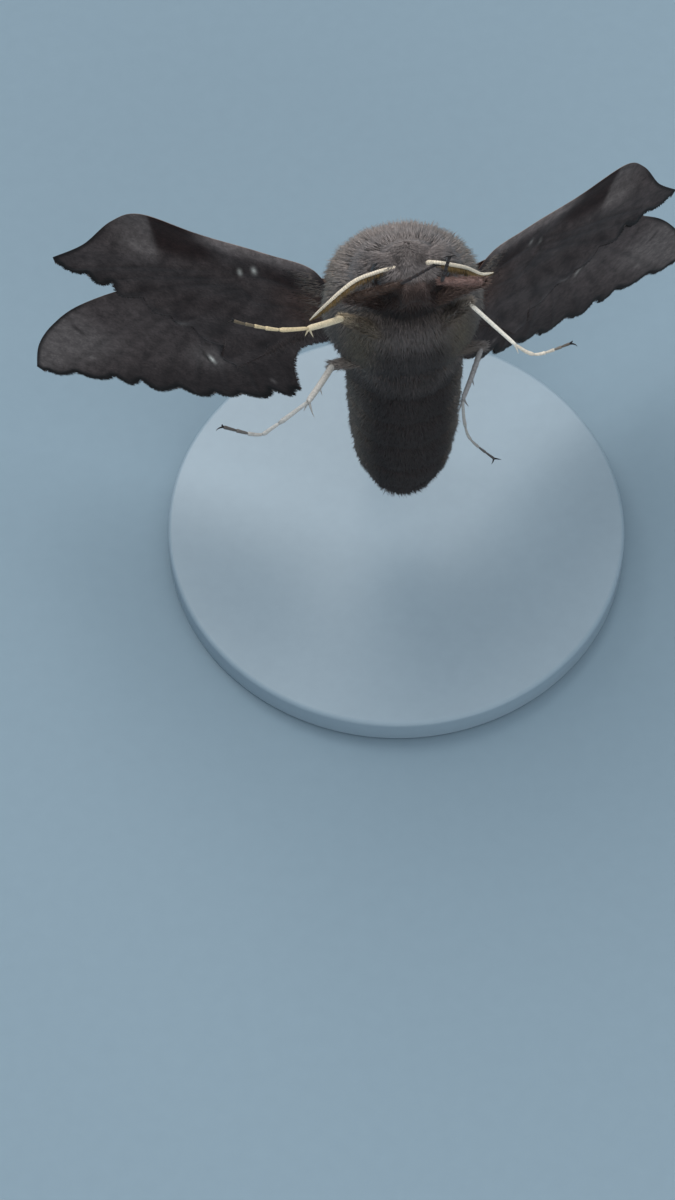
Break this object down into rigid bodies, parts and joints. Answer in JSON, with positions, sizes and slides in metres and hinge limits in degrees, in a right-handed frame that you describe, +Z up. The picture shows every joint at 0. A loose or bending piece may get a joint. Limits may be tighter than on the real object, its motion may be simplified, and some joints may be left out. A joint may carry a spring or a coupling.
{
  "type": "poplar hawk-moth",
  "caption": "Life-size poplar hawk-moth, head up with raised scalloped wings, held in the air by a plain round stand.",
  "frame": {"origin": "centre of the underside of the stand's round base", "axes": "+Z up along the moth's body to its head, -Y out of its belly, +X to the moth's own left"},
  "size_m": [0.0634, 0.044, 0.0587],
  "materials": {
    "body_coat": "soft grey-brown hair scales",
    "eye": "glossy dark facets",
    "wing": "matt overlapping scales",
    "leg": "matt scales over horn",
    "antenna": "matt cream scales",
    "stand_paint": "satin pale grey-blue paint",
    "stand_steel": "satin"
  },
  "bodies": {
    "root": {"head": "body_coat", "thorax": "body_coat", "abdomen": "body_coat", "palps": "body_coat", "eye_right": "eye", "eye_left": "eye", "forewing_right": "wing", "forewing_left": "wing", "hindwing_right": "wing", "hindwing_left": "wing", "leg_front_right_femur": "leg", "leg_front_right_tibia": "leg", "leg_front_right_tarsus": "leg", "leg_front_left_femur": "leg", "leg_front_left_tibia": "leg", "leg_front_left_tarsus": "leg", "leg_middle_right_femur": "leg", "leg_middle_right_tibia": "leg", "leg_middle_right_tarsus": "leg", "leg_middle_left_femur": "leg", "leg_middle_left_tibia": "leg", "leg_middle_left_tarsus": "leg", "leg_hind_right_femur": "leg", "leg_hind_right_tibia": "leg", "leg_hind_right_tarsus": "leg", "leg_hind_left_femur": "leg", "leg_hind_left_tibia": "leg", "leg_hind_left_tarsus": "leg", "antenna_right": "antenna", "antenna_left": "antenna", "stand_base": "stand_paint", "stand_rod": "stand_steel"}
  },
  "joints": []
}
